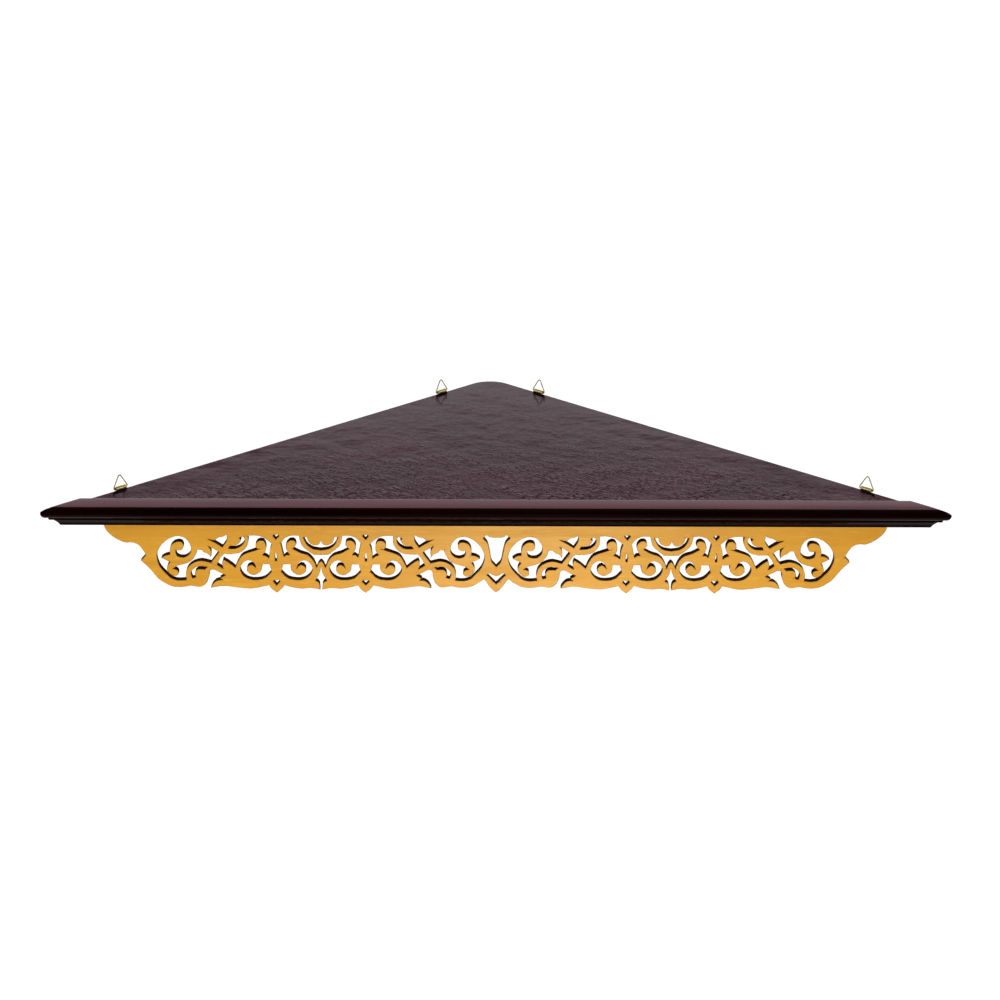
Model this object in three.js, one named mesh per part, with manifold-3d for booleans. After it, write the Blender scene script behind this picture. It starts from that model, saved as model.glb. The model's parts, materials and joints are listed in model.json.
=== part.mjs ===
// A shelf for icons that hangs in the corner of a room: a triangular board, a picture-frame moulding
// along its front, a pierced valance under the moulding, and four hanging rings on the two wall edges.
// Millimetres, +Z up. The origin is on the top face of the board, at the centre of its triangular plan.
// X runs along the front and +Y points into the corner. Both walls stand at 45 degrees to X.
import * as THREE from "three";
import { mergeVertices } from "three/addons/utils/BufferGeometryUtils.js";
import Module from "manifold-3d";

const wasm = await Module();
wasm.setup();

// Board
const frontLength = 620; // along the front, from tip to tip of the moulding
const boardThickness = 12;
const backCornerRadius = 18; // rounding between the two wall edges
const jointGap = 0.3; // air between two pieces that meet

// Front moulding, measured from the tip of its nose and from the top of the board
const mouldingWidth = 25; // from the tip of the nose to the back of the lip
const lipHeight = 2.3; // above the board
const lipOverlap = 6.7; // over the tongue at the front edge of the board
const tongueDrop = 3; // from the top of the board down to its tongue
const mouldingReveal = 0.7; // below the underside of the board

// Pierced valance
const fretInset = 40; // from a tip of the moulding to the end of the valance
const fretDrop = 49; // from the top edge to the lower edge line
const fretThickness = 6;

// Batten behind the valance, with its screws and brads
const battenHeight = 9;
const battenDepth = 14;
const battenInset = 20; // from the end of the valance to the end of the batten
const battenScrews = 5;
const battenScrewRadius = 1.6;
const battenScrewHeadRadius = 3.2;
const battenScrewLength = 17;
const battenBrads = 6;
const bradRadius = 0.7;
const bradHeadRadius = 1.3;
const bradGrip = 4; // length of a brad inside the valance

// Hangers on the wall edges
const leftOuterHanger = 71; // along the wall edge, from the tip of the moulding
const rightOuterHanger = 73.5;
const leftInnerHanger = 52; // along the wall edge, from where the two edges would meet
const rightInnerHanger = 51;
const strapThickness = 0.4;
const strapFoot = 3.5; // plate below the centre of its screw
const strapRound = 3; // rounding of the plate's two lower corners
const eyeHeight = 0.1; // centre of the rolled eye above the board
const ringWire = 0.9; // wire diameter
const ringWidth = 12.6; // outside
const ringHeight = 10.3; // outside
const ringBend = 0.9; // radius of the wire's centre line at the three corners
const ringLean = 5; // degrees that the rings lean towards the walls
const strapInset = 1.3; // from the outside of a ring to the side of its strap
const eyeClearance = 0.3; // around the wire, inside the eye
const hangerScrewRadius = 1.2;
const hangerScrewHeadRadius = 2.2;
const hangerScrewHeadHeight = 1.3;
const hangerScrewLength = 11;

const frontY = -frontLength / 6;
const cornerY = frontLength / 3;
const mouldingBody = mouldingWidth - lipOverlap; // depth of the moulding in front of the board
const boardFrontY = frontY + mouldingBody + jointGap;
const fretFrontY = boardFrontY;
const battenFrontY = fretFrontY + fretThickness + jointGap;
const underBoard = -boardThickness - jointGap;
const fretLength = frontLength - 2 * fretInset;
const battenLength = fretLength - 2 * battenInset;
const strapWidth = ringWidth - 2 * strapInset;

const lacquer = { color: 0x45282c, roughness: 0.28, metalness: 0 };
const darkMoulding = { color: 0x35171a, roughness: 0.2, metalness: 0 };
const goldPaint = { color: 0xd69a3f, roughness: 0.45, metalness: 0.3 };
const pine = { color: 0xc9a36b, roughness: 0.8, metalness: 0 };
const steel = { color: 0x9a9a96, roughness: 0.4, metalness: 0.9 };
const brass = { color: 0xb9a35a, roughness: 0.3, metalness: 0.9 };

// Solids and meshes

function solidOf(geometry) {
  const bare = geometry.clone();
  bare.deleteAttribute("normal");
  bare.deleteAttribute("uv");
  const merged = mergeVertices(bare);
  return new wasm.Manifold(
    new wasm.Mesh({
      numProp: 3,
      vertProperties: new Float32Array(merged.attributes.position.array),
      triVerts: new Uint32Array(merged.index.array),
    }),
  );
}

function geometryOf(solid) {
  const mesh = solid.getMesh();
  const geometry = new THREE.BufferGeometry();
  geometry.setAttribute("position", new THREE.BufferAttribute(mesh.vertProperties, 3));
  geometry.setIndex(new THREE.BufferAttribute(mesh.triVerts, 1));
  return geometry;
}

function cutAway(geometry, cutters) {
  let solid = solidOf(geometry);
  for (const cutter of cutters) solid = solid.subtract(solidOf(cutter));
  return geometryOf(solid);
}

function keepWithin(geometry, limit) {
  return geometryOf(solidOf(geometry).intersect(solidOf(limit)));
}

function piece(name, geometry, finish) {
  const mesh = new THREE.Mesh(geometry, new THREE.MeshStandardMaterial(finish));
  mesh.name = name;
  return mesh;
}

// A section drawn in Y and Z, run along X and centred on X = 0.
function alongX(section, length, curveSegments) {
  const geometry = new THREE.ExtrudeGeometry(section, { depth: length, bevelEnabled: false, curveSegments });
  geometry.translate(0, 0, -length / 2);
  const turn = new THREE.Matrix4().makeBasis(
    new THREE.Vector3(0, 1, 0),
    new THREE.Vector3(0, 0, 1),
    new THREE.Vector3(1, 0, 0),
  );
  return geometry.applyMatrix4(turn);
}

// A face drawn in X and Z, run back along +Y from Y = 0.
function alongY(face, depth, curveSegments) {
  const geometry = new THREE.ExtrudeGeometry(face, { depth, bevelEnabled: false, curveSegments });
  return geometry.rotateX(Math.PI / 2).translate(0, depth, 0);
}

function rod(radius, length, sides) {
  return new THREE.CylinderGeometry(radius, radius, length, sides);
}

// The room's corner

// The plan of the two walls and the front line, down to any depth below the board.
function cornerPrism(bottom, top) {
  const plan = new THREE.Shape();
  plan.moveTo(-frontLength / 2, frontY);
  plan.lineTo(frontLength / 2, frontY);
  plan.lineTo(0, cornerY);
  const geometry = new THREE.ExtrudeGeometry(plan, { depth: top - bottom, bevelEnabled: false });
  return geometry.translate(0, 0, bottom);
}

// Front moulding: a nose over a fascia and a cove, with a lip at its back over the board's tongue.

function mouldingSection() {
  const bottom = -(boardThickness + mouldingReveal);
  const ridgeRound = 0.8;
  const flat = { back: 2.9, up: lipHeight - 0.25 };
  const nose = { up: lipHeight - 2.2 };
  const noseFoot = { back: 3.3, up: lipHeight - 6.7 };
  const fascia = { back: 4.7, foot: lipHeight - 9 };
  const cove = { back: 8.2, up: bottom + 4.7, foot: 11.8 };
  const section = new THREE.Shape();
  section.moveTo(mouldingBody, bottom);
  section.lineTo(mouldingBody, jointGap - tongueDrop);
  section.lineTo(mouldingWidth, jointGap - tongueDrop);
  section.lineTo(mouldingWidth, lipHeight - ridgeRound);
  section.quadraticCurveTo(mouldingWidth, lipHeight, mouldingWidth - ridgeRound, lipHeight);
  section.quadraticCurveTo(mouldingWidth / 2, flat.up - 0.3, flat.back, flat.up);
  section.bezierCurveTo(1.2, flat.up, 0, flat.up - 0.7, 0, nose.up);
  section.bezierCurveTo(0, nose.up - 2, 1.6, noseFoot.up + 0.2, noseFoot.back, noseFoot.up);
  section.lineTo(fascia.back, noseFoot.up);
  section.quadraticCurveTo(fascia.back, fascia.foot + 0.2, fascia.back + 1, fascia.foot);
  section.lineTo(cove.back, fascia.foot - 0.2);
  section.lineTo(cove.back, cove.up);
  section.quadraticCurveTo(cove.back + 2, cove.up - 1.6, cove.foot, bottom);
  return section;
}

function frontMoulding() {
  const run = alongX(mouldingSection(), frontLength, 5).translate(0, frontY, 0);
  const walls = cornerPrism(-boardThickness - mouldingReveal - 1, lipHeight + 1);
  return piece("front_moulding", keepWithin(run, walls), darkMoulding);
}

// Board

function boardPlan() {
  const halfFront = cornerY - boardFrontY;
  const plan = new THREE.Shape();
  plan.moveTo(-halfFront, boardFrontY);
  plan.lineTo(halfFront, boardFrontY);
  plan.absarc(0, cornerY - backCornerRadius * Math.SQRT2, backCornerRadius, Math.PI / 4, (3 * Math.PI) / 4);
  return plan;
}

function shelfBoard() {
  const slab = new THREE.ExtrudeGeometry(boardPlan(), {
    depth: boardThickness,
    bevelEnabled: false,
    curveSegments: 12,
  }).translate(0, 0, -boardThickness);
  const rebate = new THREE.BoxGeometry(2 * frontLength, 2 * lipOverlap, 2 * tongueDrop);
  rebate.translate(0, boardFrontY, 0);
  const holes = battenScrewPlaces().map((place) => battenScrewHole().translate(place.x, place.y, 0));
  for (const hanger of hangers) holes.push(hangerScrewHole().applyMatrix4(hanger.place));
  return piece("shelf_board", cutAway(slab, [rebate, ...holes]), lacquer);
}

// Pierced valance. Its ornament is drawn once for a quarter of the length, as across and up:
// across from the axis of a half, and up from the lower edge line. A stroke is a smooth curve
// through its points that starts at the end of the stroke before it, so strokes meet in corners.

const drawnAxis = 120.7; // from the middle of the valance to the axis of a half
const drawnEnd = 148.6; // from the axis of a half to the end of the valance
const drawnTop = 48.9; // from the lower edge line to the top edge
const spindle = 30.7; // axis of the spindle between two scrolls

const leafOpening = [
  [[99, 24], [96, 22.5], [92.5, 23], [89.5, 26], [89.5, 31.5], [93, 36.5], [98, 38], [104, 36],
    [109.5, 31], [112.5, 24], [111, 16.5], [106.5, 10.5], [102, 6.5], [97.5, 5.5], [92.5, 6]],
  [[93, 10], [91.5, 15], [87.5, 18.5], [82, 20], [75.5, 18.5]],
  [[70, 26.5]],
  [[74, 29], [77.5, 31]],
  [[75.5, 28], [75.5, 22.5]],
  [[77.5, 25], [80, 26]],
  [[82, 28]],
  [[84.5, 28]],
  [[86, 24], [89.5, 19.5], [94, 17.5], [99, 16], [102, 14]],
  [[98.5, 13], [98, 10], [100.5, 8.5], [103.5, 10], [106, 13.5], [105, 17], [103.5, 19]],
  [[109.5, 22]],
  [[106.5, 24], [103.5, 24.5]],
  [[103.5, 28.5], [102, 32], [98.5, 34], [95, 33.5], [94, 30.5], [96, 27.5], [99.5, 28]],
];
const wedgeOpening = [
  [[72.5, 35]],
  [[70, 37], [67.5, 37.5]],
  [[64.5, 39]],
  [[64.5, 35], [67.5, 30]],
  [[72, 33], [77.5, 36]],
];
const hookOpening = [
  [[83, 16], [87, 14.5], [89.5, 11], [88.5, 7]],
  [[86, 8]],
  [[87, 11], [84.5, 13.8], [80, 13.5]],
  [[78, 15.5]],
];
const crescentOpening = [
  [[62.5, 31]],
  [[58, 31.5], [55.5, 33.5], [54.5, 35.5]],
  [[56, 36.5]],
  [[55, 37.5]],
  [[53, 37.5]],
  [[52, 35.5], [54, 31.5], [58, 29.2], [63.5, 29]],
];
const branchOpening = [
  [[69, 22], [66.5, 25]],
  [[60, 25], [54.5, 26.5], [50.5, 31], [49.5, 35], [50, 38.5]],
  [[44, 38.5], [39, 37], [33.5, 32.5]],
  [[35, 28], [35.5, 22]],
  [[37.5, 23.5], [40, 24.5]],
  [[38, 27], [37.5, 31], [39.5, 35], [43, 34.5], [45, 31], [43, 28.5], [41, 29]],
  [[48.5, 26.5], [54, 24], [57, 19.5], [59, 15]],
  [[63, 18.5], [67, 21]],
  [[68, 17.5], [67, 14]],
  [[71.5, 17]],
];
const eyeOpening = [
  [[46.5, 19], [50, 20.5], [53.5, 18.5], [55.5, 14.5], [54, 10], [50, 6.8], [44.5, 6], [38.5, 7.5], [34, 12]],
  [[35.5, 17.5]],
  [[40.5, 17.5]],
  [[40.8, 13.5], [43.5, 10.5], [47, 9.5], [51, 12.5], [50.5, 15.8], [47.5, 17.3], [44.5, 14.5]],
];
const slitOpening = [
  [[spindle + 0.9, 23], [spindle + 0.8, 20]],
  [[spindle - 0.3, 20]],
  [[spindle - 0.5, 23], [spindle + 0.3, 26.5]],
];
const upperHeart = [
  [[spindle + 1.2, 39.6], [spindle, 39]],
  [[spindle - 1.2, 39.6], [spindle - 2.2, 38.6]],
  [[spindle, 35.8]],
  [[spindle + 2.2, 38.6]],
];
const lowerHeart = [
  [[spindle + 1.3, 6.2], [spindle, 5.4]],
  [[spindle - 1.3, 6.2], [spindle - 2.6, 5]],
  [[spindle, 2]],
  [[spindle + 2.6, 5]],
];
// These two cross the axis of a half: each is drawn from the axis and back to it, and then mirrored.
const innerOpening = [
  [[0, 24.5], [5, 24.5]],
  [[9.5, 28], [13, 31.5], [15, 38.5]],
  [[20, 38.5], [24, 37], [27.5, 33]],
  [[26.5, 28], [25.5, 23]],
  [[24, 24.5], [21.5, 24.5]],
  [[23.5, 28], [24, 31.5], [21.5, 35], [18, 35], [16.8, 32], [19.5, 29]],
  [[14, 26], [8.5, 24], [5, 20], [3, 15]],
  [[1.5, 18.5], [0, 20]],
];
const cradleOpening = [
  [[0, 28], [5.5, 29], [9.5, 32], [12, 37.5]],
  [[9.5, 37.5]],
  [[8, 33.5], [4.5, 31.5], [1.5, 32], [0, 35]],
];
// These two cross the middle of the valance, and are measured from it.
const vaseOpening = [
  [[0, 37.5], [4, 37.6], [7, 39.3]],
  [[9.4, 37.2]],
  [[6.3, 33.5], [4.5, 26.5], [3, 19.5], [0, 16]],
];
const middleHeart = [
  [[0, 9], [2.2, 9.8], [4.8, 11.4]],
  [[6.6, 10]],
  [[0, 3.2]],
];
// The lower edge from the axis of a half outwards: a star with its slit, a heart, a lobed notch, a scroll.
const lowerEdge = [
  [[0, 15.5], [1, 11], [4, 5.5]],
  [[1.5, 4], [0.6, -1.2]],
  [[7, 0], [13, -0.5], [20, 0.5], [25.5, 2]],
  [[27, -0.5], [spindle, -3.5]],
  [[34.3, -0.5], [36, 2]],
  [[40, 1], [48, -0.5], [58, 0.3], [67, 1.4], [76, 0]],
  [[74.5, 3], [71.5, 5.5], [67.5, 6]],
  [[69.5, 7.2]],
  [[65.5, 9.5]],
  [[70, 11.5], [74, 13.5], [76.5, 12.8], [77, 8.5], [79, 3.5], [82.5, 0.8], [89.5, 1.5]],
  [[96, 0.5], [102.5, 1], [108, 3.7], [112.3, 7]],
];
const outerEnd = [
  [[118.5, 15], [123.5, 20]],
  [[120, 24]],
  [[121.5, 27], [125, 31.5], [129, 33.3], [134, 33.3], [142, 37.5], [147, 43], [drawnEnd, drawnTop]],
];
const middleTip = [[[drawnAxis - 3, -0.5], [drawnAxis, -3]]];

const sampleStep = 2.2; // length of a straight facet along a stroke

// The points along a row of strokes. A closed row starts where its last stroke ends.
function pointsAlong(strokes, closed) {
  const points = [];
  let corner = closed ? strokes.at(-1).at(-1) : null;
  for (const stroke of strokes) {
    const knots = (corner ? [corner, ...stroke] : stroke).map(([across, up]) => new THREE.Vector3(across, up, 0));
    if (!corner) points.push(knots[0]);
    if (knots.length > 2) {
      const curve = new THREE.CatmullRomCurve3(knots, false, "centripetal");
      const steps = Math.max(knots.length - 1, Math.round(curve.getLength() / sampleStep));
      points.push(...curve.getSpacedPoints(steps).slice(1));
    } else points.push(knots.at(-1));
    corner = stroke.at(-1);
  }
  return points;
}

// From the drawing of a quarter to the face of the valance. Side is -1 or 1 for a half of the shelf,
// and turn is -1 or 1 for the quarter nearer its middle or its end.
function onFret(side, turn) {
  const stretch = fretLength / 2 / (drawnAxis + drawnEnd);
  const lift = fretDrop / drawnTop;
  return (point) =>
    new THREE.Vector2(side * (drawnAxis + turn * point.x) * stretch, underBoard - fretDrop + point.y * lift);
}

function mirrored(points) {
  const back = points.map((point) => new THREE.Vector3(-point.x, point.y, 0)).reverse();
  return [...points, ...back].filter(
    (point, i, all) => point.distanceTo(all[(i + 1) % all.length]) > 0.001,
  );
}

function fretOutline() {
  const lower = pointsAlong(lowerEdge, false);
  const end = pointsAlong([lowerEdge.at(-1), ...outerEnd], false);
  end.splice(0, pointsAlong([lowerEdge.at(-1)], false).length);
  const tip = pointsAlong([[lowerEdge.at(-1).at(-1), ...middleTip[0]]], false).slice(1);
  const towardsMiddle = [...lower, ...tip];
  const towardsEnd = [...lower.slice(1), ...end];
  const half = (side) => [
    ...towardsMiddle.map(onFret(side, -1)).reverse(),
    ...towardsEnd.map(onFret(side, 1)),
  ];
  const left = half(-1).reverse();
  const right = half(1).slice(1);
  return [...left, ...right];
}

function fretOpenings() {
  const quarterOpenings = [
    leafOpening, wedgeOpening, hookOpening, crescentOpening, branchOpening,
    eyeOpening, slitOpening, upperHeart, lowerHeart,
  ].map((strokes) => pointsAlong(strokes, true));
  const facingEye = pointsAlong(eyeOpening, true).map((point) => new THREE.Vector3(2 * spindle - point.x, point.y, 0));
  quarterOpenings.push(facingEye);
  const axisOpenings = [innerOpening, cradleOpening].map((strokes) => mirrored(pointsAlong(strokes, false)));
  const middleOpenings = [vaseOpening, middleHeart].map((strokes) => mirrored(pointsAlong(strokes, false)));
  const openings = [];
  for (const side of [-1, 1]) {
    for (const turn of [-1, 1]) openings.push(...quarterOpenings.map((points) => points.map(onFret(side, turn))));
    openings.push(...axisOpenings.map((points) => points.map(onFret(side, 1))));
  }
  const fromMiddle = (point) => onFret(1, 1)(new THREE.Vector3(point.x - drawnAxis, point.y, 0));
  openings.push(...middleOpenings.map((points) => points.map(fromMiddle)));
  return openings;
}

function fretValance() {
  const face = new THREE.Shape(fretOutline());
  face.holes = fretOpenings().map((points) => new THREE.Path(points));
  const sheet = alongY(face, fretThickness, 1).translate(0, fretFrontY, 0);
  const holes = bradPlaces().map((place) => bradHole().translate(place.x, place.y, place.z));
  return piece("fret_valance", cutAway(sheet, holes), goldPaint);
}

// Batten, its screws and its brads

function evenly(count) {
  const pitch = battenLength / count;
  return Array.from({ length: count }, (_, i) => (i - (count - 1) / 2) * pitch);
}

function battenScrewPlaces() {
  return evenly(battenScrews).map((x) => new THREE.Vector3(x, battenFrontY + battenDepth / 2, 0));
}

function bradPlaces() {
  const y = battenFrontY + battenDepth;
  const z = underBoard - battenHeight / 2;
  return evenly(battenBrads).map((x) => new THREE.Vector3(x, y, z));
}

// The screw stands on its head, flush with the underside of the batten.
const battenScrewFoot = underBoard - battenHeight;

function turnedUpright(profile, sides) {
  const points = profile.map(([radius, height]) => new THREE.Vector2(radius, height));
  return new THREE.LatheGeometry(points, sides).rotateX(Math.PI / 2);
}

function battenScrew() {
  const taper = battenScrewHeadRadius - battenScrewRadius;
  return turnedUpright(
    [
      [0, 0],
      [battenScrewHeadRadius, 0],
      [battenScrewHeadRadius, 0.4],
      [battenScrewRadius, 0.4 + taper],
      [battenScrewRadius, battenScrewLength - 3],
      [0, battenScrewLength],
    ],
    12,
  ).translate(0, 0, battenScrewFoot);
}

function battenScrewHole() {
  const taper = battenScrewHeadRadius - battenScrewRadius;
  return turnedUpright(
    [
      [0, -1],
      [battenScrewHeadRadius + jointGap, -1],
      [battenScrewHeadRadius + jointGap, 0.4 + jointGap],
      [battenScrewRadius + jointGap, 0.4 + taper + jointGap],
      [battenScrewRadius + jointGap, battenScrewLength + jointGap],
      [0, battenScrewLength + jointGap],
    ],
    12,
  ).translate(0, 0, battenScrewFoot);
}

// A brad points forwards, with its head flush with the back of the batten.
function turnedForwards(profile, sides) {
  const points = profile.map(([radius, back]) => new THREE.Vector2(radius, back));
  return new THREE.LatheGeometry(points, sides);
}

function brad() {
  const length = battenDepth + jointGap + bradGrip;
  return turnedForwards(
    [[0, -length], [bradRadius, 1 - length], [bradRadius, -0.8], [bradHeadRadius, -0.8], [bradHeadRadius, 0], [0, 0]],
    8,
  );
}

function bradHole() {
  const length = battenDepth + jointGap + bradGrip + jointGap;
  return turnedForwards(
    [
      [0, -length],
      [bradRadius + jointGap, -length],
      [bradRadius + jointGap, -0.8 - jointGap],
      [bradHeadRadius + jointGap, -0.8 - jointGap],
      [bradHeadRadius + jointGap, 1],
      [0, 1],
    ],
    8,
  );
}

function fixingBatten() {
  const bar = new THREE.BoxGeometry(battenLength, battenDepth, battenHeight);
  bar.translate(0, battenFrontY + battenDepth / 2, underBoard - battenHeight / 2);
  const holes = battenScrewPlaces().map((place) => battenScrewHole().translate(place.x, place.y, 0));
  holes.push(...bradPlaces().map((place) => bradHole().translate(place.x, place.y, place.z)));
  return piece("fixing_batten", cutAway(bar, holes), pine);
}

// Hangers. In a hanger's own frame X runs along the wall, +Y points at the wall, and the origin is
// the centre of the rolled eye.

const wallLength = frontLength / Math.SQRT2; // from the tip of the moulding to where the edges would meet
const eyeBore = ringWire / 2 + eyeClearance;
const eyeOuter = eyeBore + strapThickness;
const eyeStandOff = jointGap + eyeOuter; // from the board's edge to the centre of the eye
const hangerScrewZ = -(eyeHeight + boardThickness / 2);

function hangerPlace(side, alongFromTip) {
  const share = alongFromTip / wallLength;
  const x = (side * frontLength * (1 - share)) / 2;
  const y = frontY + (share * frontLength) / 2;
  const outwards = eyeStandOff / Math.SQRT2;
  return new THREE.Matrix4()
    .makeRotationZ((-side * Math.PI) / 4)
    .setPosition(x + side * outwards, y + outwards, eyeHeight);
}

const hangers = [
  { number: 1, place: hangerPlace(-1, leftOuterHanger) },
  { number: 2, place: hangerPlace(-1, wallLength - leftInnerHanger) },
  { number: 3, place: hangerPlace(1, wallLength - rightInnerHanger) },
  { number: 4, place: hangerPlace(1, rightOuterHanger) },
];

// A brass strip that lies on the board's edge and rolls over the base of the ring.
function strapSection() {
  const rollEnd = (-110 * Math.PI) / 180;
  const foot = hangerScrewZ - strapFoot;
  const section = new THREE.Shape();
  section.moveTo(-eyeOuter, foot);
  section.lineTo(-eyeOuter, 0);
  section.absarc(0, 0, eyeOuter, Math.PI, rollEnd, true);
  section.absarc(0, 0, eyeBore, rollEnd, Math.PI, false);
  section.lineTo(-eyeBore, foot);
  return section;
}

function strapFace() {
  const foot = hangerScrewZ - strapFoot;
  const half = strapWidth / 2;
  const face = new THREE.Shape();
  face.moveTo(half, eyeOuter + 1);
  face.lineTo(-half, eyeOuter + 1);
  face.absarc(strapRound - half, foot + strapRound, strapRound, Math.PI, 1.5 * Math.PI);
  face.absarc(half - strapRound, foot + strapRound, strapRound, 1.5 * Math.PI, 2 * Math.PI);
  return face;
}

function hangerStrap() {
  const strip = alongX(strapSection(), strapWidth + 2, 8);
  const outline = alongY(strapFace(), 4 * eyeOuter, 4).translate(0, -2 * eyeOuter, 0);
  const hole = rod(hangerScrewRadius + jointGap, 4 * eyeOuter, 12).translate(0, -2 * eyeOuter, hangerScrewZ);
  return cutAway(keepWithin(strip, outline), [hole]);
}

// A closed tube along a flat loop of points in X and Z.
function closedTube(loop, radius, sides) {
  const positions = [];
  const index = [];
  loop.forEach((point, i) => {
    const before = loop.at(i - 1);
    const after = loop[(i + 1) % loop.length];
    const across = new THREE.Vector2(after.y - before.y, before.x - after.x).normalize();
    for (let side = 0; side < sides; side += 1) {
      const angle = (2 * Math.PI * side) / sides;
      const out = radius * Math.cos(angle);
      positions.push(point.x + across.x * out, radius * Math.sin(angle), point.y + across.y * out);
      const next = (side + 1) % sides;
      const here = i * sides;
      const there = ((i + 1) % loop.length) * sides;
      index.push(here + side, there + next, there + side, here + side, here + next, there + next);
    }
  });
  const geometry = new THREE.BufferGeometry();
  geometry.setAttribute("position", new THREE.Float32BufferAttribute(positions, 3));
  geometry.setIndex(index);
  return geometry;
}

// A wire triangle whose base runs through the eye.
function hangerRing() {
  const baseX = (ringWidth - ringWire) / 2 - ringBend;
  const top = ringHeight - ringWire - ringBend;
  const lean = Math.atan2(baseX, top - ringBend); // of a leg from upright
  const bendPoints = 5;
  const corner = (x, z, from, to) =>
    Array.from({ length: bendPoints }, (_, i) => {
      const angle = from + ((to - from) * i) / (bendPoints - 1);
      return new THREE.Vector2(x + ringBend * Math.cos(angle), z + ringBend * Math.sin(angle));
    });
  const loop = [
    ...corner(baseX, ringBend, -Math.PI / 2, lean),
    ...corner(0, top, lean, Math.PI - lean),
    ...corner(-baseX, ringBend, Math.PI - lean, 1.5 * Math.PI),
  ];
  return closedTube(loop, ringWire / 2, 8).rotateX((-ringLean * Math.PI) / 180);
}

function roundHeadScrew() {
  const face = -eyeBore + jointGap; // under the head
  const tip = face - hangerScrewLength;
  const head = hangerScrewHeadHeight;
  return turnedForwards(
    [
      [0, tip],
      [hangerScrewRadius, tip + 2],
      [hangerScrewRadius, face],
      [hangerScrewHeadRadius, face],
      [hangerScrewHeadRadius * 0.9, face + head * 0.55],
      [hangerScrewHeadRadius * 0.55, face + head * 0.9],
      [0, face + head],
    ],
    12,
  ).translate(0, 0, hangerScrewZ);
}

function hangerScrewHole() {
  const depth = hangerScrewLength + 1;
  return rod(hangerScrewRadius + jointGap, depth, 12).translate(0, -eyeBore - depth / 2, hangerScrewZ);
}

function hanger({ number, place }) {
  const group = new THREE.Group();
  group.add(piece("hanger_strap_" + number, hangerStrap(), brass));
  group.add(piece("hanger_ring_" + number, hangerRing(), brass));
  group.add(piece("hanger_screw_" + number, roundHeadScrew(), steel));
  group.applyMatrix4(place);
  return group;
}

const shelf = new THREE.Group();
shelf.add(shelfBoard(), frontMoulding(), fretValance(), fixingBatten());
battenScrewPlaces().forEach((place, i) => {
  const screw = piece("batten_screw_" + (i + 1), battenScrew(), steel);
  screw.position.set(place.x, place.y, 0);
  shelf.add(screw);
});
bradPlaces().forEach((place, i) => {
  const nail = piece("valance_brad_" + (i + 1), brad(), steel);
  nail.position.copy(place);
  shelf.add(nail);
});
for (const entry of hangers) shelf.add(hanger(entry));

export default shelf;
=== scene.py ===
import json
import math

import bmesh
import bpy
import numpy as np
from mathutils import Matrix, Vector
from mathutils.bvhtree import BVHTree
from mathutils.geometry import delaunay_2d_cdt


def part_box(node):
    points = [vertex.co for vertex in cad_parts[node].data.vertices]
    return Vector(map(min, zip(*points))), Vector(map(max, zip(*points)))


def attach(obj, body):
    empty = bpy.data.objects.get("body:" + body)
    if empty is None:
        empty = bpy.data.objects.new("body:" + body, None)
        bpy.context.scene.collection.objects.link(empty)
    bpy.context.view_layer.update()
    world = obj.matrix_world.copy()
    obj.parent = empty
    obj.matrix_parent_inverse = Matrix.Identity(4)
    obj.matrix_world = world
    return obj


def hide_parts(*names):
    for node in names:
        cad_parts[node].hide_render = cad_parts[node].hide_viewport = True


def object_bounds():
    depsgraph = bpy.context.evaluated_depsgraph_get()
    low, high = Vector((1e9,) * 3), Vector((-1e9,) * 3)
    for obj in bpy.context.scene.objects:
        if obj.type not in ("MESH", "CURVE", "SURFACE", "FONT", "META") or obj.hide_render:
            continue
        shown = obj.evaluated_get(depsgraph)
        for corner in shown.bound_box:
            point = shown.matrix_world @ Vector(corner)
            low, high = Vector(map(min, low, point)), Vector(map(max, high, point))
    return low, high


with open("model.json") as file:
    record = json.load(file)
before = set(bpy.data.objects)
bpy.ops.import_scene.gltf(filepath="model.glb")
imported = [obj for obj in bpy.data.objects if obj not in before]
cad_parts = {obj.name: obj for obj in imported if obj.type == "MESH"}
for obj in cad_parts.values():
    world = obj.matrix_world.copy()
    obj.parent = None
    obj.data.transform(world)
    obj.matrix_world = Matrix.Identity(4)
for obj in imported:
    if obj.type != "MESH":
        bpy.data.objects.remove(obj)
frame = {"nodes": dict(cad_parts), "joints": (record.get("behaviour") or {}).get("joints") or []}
cadLow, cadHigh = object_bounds()
mm = 0.001
pi = math.pi
weld = 2e-6  # points of a CAD mesh that are nearer than this are one point
slack = 1e-5  # how far a point may be from a plane and still lie on it
bpy.context.scene.view_settings.view_transform = "Standard"

# Camera, floor and light

cameraSet = {
    "place": (-0.041499, -1.882619, 0.654877),
    "right": (0.99973592, -0.02030489, 0.01076129),
    "up": (-0.00320606, 0.34046562, 0.9402515),
    "lens": 100.483,
    "sensor": 36,
    "clip": (0.05, 100),
}
studioSet = {
    "floorDrop": 0.9,
    "floorSpan": 80,
    "floorColour": (0.93, 0.93, 0.93),
    "floorRoughness": 0.9,
    # the sky's strength at each height, which is the sine of the angle above the horizon
    "skyHeights": (0.0, 0.305, 0.318, 0.328, 0.338, 0.36, 0.4, 1.0),
    "skyStrengths": (1.15, 1.27, 1.2, 0.86, 0.3, 0.28, 0.28, 0.24),
    "overheadStrength": 2.5,
    "overheadAngle": 90,
    "frontPower": 1.8,
    "frontSize": 0.26,
    "frontPlace": (0.05, -0.74, -0.27),
}


def linked(name, data):
    made = bpy.data.objects.new(name, data)
    bpy.context.scene.collection.objects.link(made)
    return made


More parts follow.
